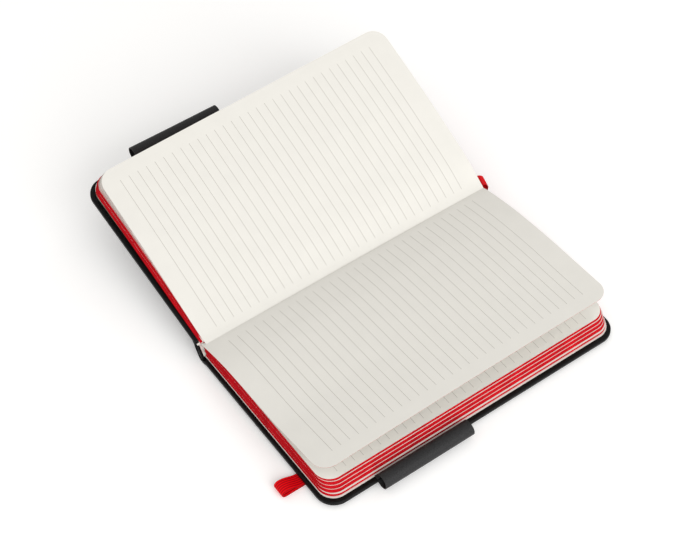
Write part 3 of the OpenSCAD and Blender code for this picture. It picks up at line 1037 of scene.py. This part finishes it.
class NOTEBOOK_OT_ribbon(bpy.types.Operator):
    """Leads the ribbon marker from the spine's head over into the left-hand pages"""

    bl_idname = "notebook.ribbon"
    bl_label = "Ribbon"

    def execute(self, context):
        sizes = context.scene.notebook_sizes
        lo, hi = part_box("ribbon_tab")
        root = (lo + hi) / 2
        angle = open_angle("signature_2_left")
        rest_lo, rest_hi = closed_box("ribbon_marker", angle)
        mid_x, mid_z = (rest_lo.x + rest_hi.x) / 2, (rest_lo.z + rest_hi.z) / 2
        end_x, end_z = turned_over(mid_x, mid_z, angle)
        head = PAGE_HI.y
        spine_way = Vector((-math.sin(LEAN), 0, math.cos(LEAN)))
        leaf_way = Vector((math.cos(angle), 0, math.sin(angle)))
        page_way = Vector((-0.82, 0, 0.57))
        fold_x, fold_z = LEAF_HINGE
        keys = [
            (Vector((root.x, lo.y, root.z)), spine_way),
            (Vector((root.x, head - 2 * MM, root.z)), spine_way),
            (Vector((root.x + 0.8 * MM, head + 3 * MM, root.z + 1.2 * MM)), spine_way),
            (Vector((fold_x - 0.4 * MM, head + 5 * MM, fold_z - 0.4 * MM)),
             (spine_way + page_way).normalized()),
            (Vector((fold_x - 0.4 * MM, head + 4.6 * MM, fold_z + 3.6 * MM)), page_way),
            (Vector((fold_x - 1.6 * MM, head + 2.2 * MM, fold_z + 5.2 * MM)), page_way),
            (Vector((fold_x - 4 * MM, head - 1.5 * MM, fold_z + 3.2 * MM)), page_way),
            (Vector((end_x, head - 8 * MM, end_z)), leaf_way),
            (Vector((end_x, head - 60 * MM, end_z)), leaf_way),
            (Vector((end_x, rest_lo.y, end_z)), leaf_way),
        ]
        centres = smooth_path([k[0] for k in keys], 8)
        ways = smooth_path([k[1] for k in keys], 8)
        rings = []
        for i, (centre, way) in enumerate(zip(centres, ways)):
            b, a = Vector(centres[max(i - 1, 0)]), Vector(centres[min(i + 1, len(centres) - 1)])
            way = Vector(way).normalized()
            normal = way.cross(a - b).normalized() * 0.1 * MM
            half = way * sizes.ribbon_w / 2
            c = Vector(centre)
            ring = [c + half * u + normal for u in (-1, -0.92, -0.5, 0, 0.5, 0.92, 1)]
            ring += [c + half * u - normal for u in (1, 0.92, 0.5, 0, -0.5, -0.92, -1)]
            rings.append(ring)
        piece = loft("ribbon_marker_band", rings, MATERIALS["ribbon"], smooth=60)
        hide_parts("ribbon_marker", "ribbon_tab")
        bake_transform(piece)
        return {"FINISHED"}


class NOTEBOOK_OT_stitches(bpy.types.Operator):
    """Sews the linen thread's stitches along the fold"""

    bl_idname = "notebook.stitches"
    bl_label = "Stitches"

    def execute(self, context):
        lo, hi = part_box("sewing_thread")
        heights = sorted({round(v.co.y, 6) for v in frame["nodes"]["sewing_thread"].data.vertices})
        r = 0.17 * MM
        made = []
        for k in range(0, len(heights), 2):
            y0, y1 = heights[k], heights[k + 1]
            rings = []
            for i in range(25):
                part = i / 24
                up = 0.45 * MM * math.sin(math.pi * part) ** 0.5
                twist = part * 10 * math.pi
                centre = Vector((hi.x + 0.1 * MM, y0 + (y1 - y0) * part, hi.z + 0.1 * MM + up))
                rings.append([centre + Vector((math.cos(a), 0,
                    math.sin(a))) * r * (1 + 0.25 * math.cos(2 * (a - twist)))
                    for a in (2 * math.pi * n / 10 for n in range(10))])
            made.append(loft(f"stitch_{k}", rings, MATERIALS["thread"], smooth=60))
        piece = join(made, "fold_stitches")
        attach(piece, "signature_2_right")
        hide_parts("sewing_thread")
        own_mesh(piece)
        return {"FINISHED"}


class NOTEBOOK_OT_finishes(bpy.types.Operator):
    """Gives the frame's own pieces their finishes"""

    bl_idname = "notebook.finishes"
    bl_label = "Finishes"

    def execute(self, context):
        finishes = {
            "board": ("back_board", "front_board", "spine_board"),
            "endpaper": ("back_pastedown", "front_pastedown"),
            "mull": ("spine_lining", "headband", "tailband"),
        }
        for finish, nodes in finishes.items():
            for name in nodes:
                piece = frame["nodes"][name]
                piece.data.materials.clear()
                piece.data.materials.append(MATERIALS[finish])
        return {"FINISHED"}


class NOTEBOOK_OT_stage(bpy.types.Operator):
    """Sets up a pale floor, soft light and the camera"""

    bl_idname = "notebook.stage"
    bl_label = "Studio"

    def execute(self, context):
        colours, view = context.scene.notebook_colours, context.scene.notebook_view
        # An acrylic light table glows a little, which keeps the ground white and shadows faint.
        material, shader = new_material("light_table_acrylic", Roughness=0.9, IOR=1.49,
            Emission_Strength=0.2)
        shader.inputs["Base Color"].default_value = linear(colours.floor)
        shader.inputs["Emission Color"].default_value = linear(colours.floor)
        size = 15.0
        floor = new_piece("studio_floor", [(-size, -size, 0), (size, -size, 0),
                    (size, size, 0), (-size, size, 0)],
                [(0, 1, 2, 3)], material)
        floor.location.z = -0.02 * MM
        world = bpy.data.worlds.new("studio_air")
        context.scene.world = world
        world.use_nodes = True
        air = world.node_tree.nodes["Background"]
        air.inputs["Color"].default_value = (1.0, 0.985, 0.96, 1.0)
        air.inputs["Strength"].default_value = 0.715
        for name, place, size, power in (("key_softbox", (2.45, -0.1, 1.25), 2.4, 52.0),
                ("fill_softbox", (0.2, 2.0, 2.2), 2.0, 3.0)):
            light = bpy.data.lights.new(name, "AREA")
            light.size = size
            light.energy = power
            lamp = bpy.data.objects.new(name, light)
            lamp.location = place
            lamp.rotation_euler = (Vector((0, 0, 0)) - Vector(place)).to_track_quat("-Z",
                    "Y").to_euler()
            context.scene.collection.objects.link(lamp)
        camera = bpy.data.objects.new("studio_camera", bpy.data.cameras.new("studio_camera"))
        camera.data.sensor_width = 36.0
        camera.data.lens = view.lens
        camera.data.clip_end = 50.0
        away = Vector((math.sin(view.azimuth) * math.cos(view.elevation),
            -math.cos(view.azimuth) * math.cos(view.elevation), math.sin(view.elevation)))
        camera.location = Vector(view.aim) + away * view.distance
        camera.rotation_euler = away.to_track_quat("Z", "Y").to_euler()
        context.scene.collection.objects.link(camera)
        context.scene.camera = camera
        context.scene.view_settings.view_transform = "Standard"
        return {"FINISHED"}


class NOTEBOOK_PT_panel(bpy.types.Panel):
    """Lists the notebook's pieces in the sidebar"""

    bl_idname = "NOTEBOOK_PT_panel"
    bl_label = "Notebook"
    bl_space_type = "VIEW_3D"
    bl_region_type = "UI"
    bl_category = "Notebook"

    def draw(self, context):
        for group in ("notebook_sizes", "notebook_colours", "notebook_view"):
            values = getattr(context.scene, group)
            for name in values.bl_rna.properties.keys():
                if name not in ("rna_type", "name"):
                    self.layout.prop(values, name)
        for operator in OPERATORS:
            self.layout.operator(operator.bl_idname)


GROUPS = {
    "notebook_sizes": NotebookSizes,
    "notebook_colours": NotebookColours,
    "notebook_view": NotebookView,
}
OPERATORS = (NOTEBOOK_OT_stage, NOTEBOOK_OT_covers, NOTEBOOK_OT_spine, NOTEBOOK_OT_signatures,
        NOTEBOOK_OT_turned_signatures, NOTEBOOK_OT_open_leaves, NOTEBOOK_OT_stitches,
        NOTEBOOK_OT_pen_loops, NOTEBOOK_OT_elastic, NOTEBOOK_OT_ribbon, NOTEBOOK_OT_finishes,)


def register():
    for cls in (*GROUPS.values(), *OPERATORS, NOTEBOOK_PT_panel):
        bpy.utils.register_class(cls)
    for name, group in GROUPS.items():
        setattr(bpy.types.Scene, name, PointerProperty(type=group))


def unregister():
    for name in GROUPS:
        delattr(bpy.types.Scene, name)
    for cls in reversed((*GROUPS.values(), *OPERATORS, NOTEBOOK_PT_panel)):
        bpy.utils.unregister_class(cls)


def main():
    register()
    scene = bpy.context.scene
    make_materials(scene.notebook_sizes, scene.notebook_colours)
    for operator in OPERATORS:
        family, name = operator.bl_idname.split(".")
        getattr(getattr(bpy.ops, family), name)()


if __name__ == "__main__":
    main()
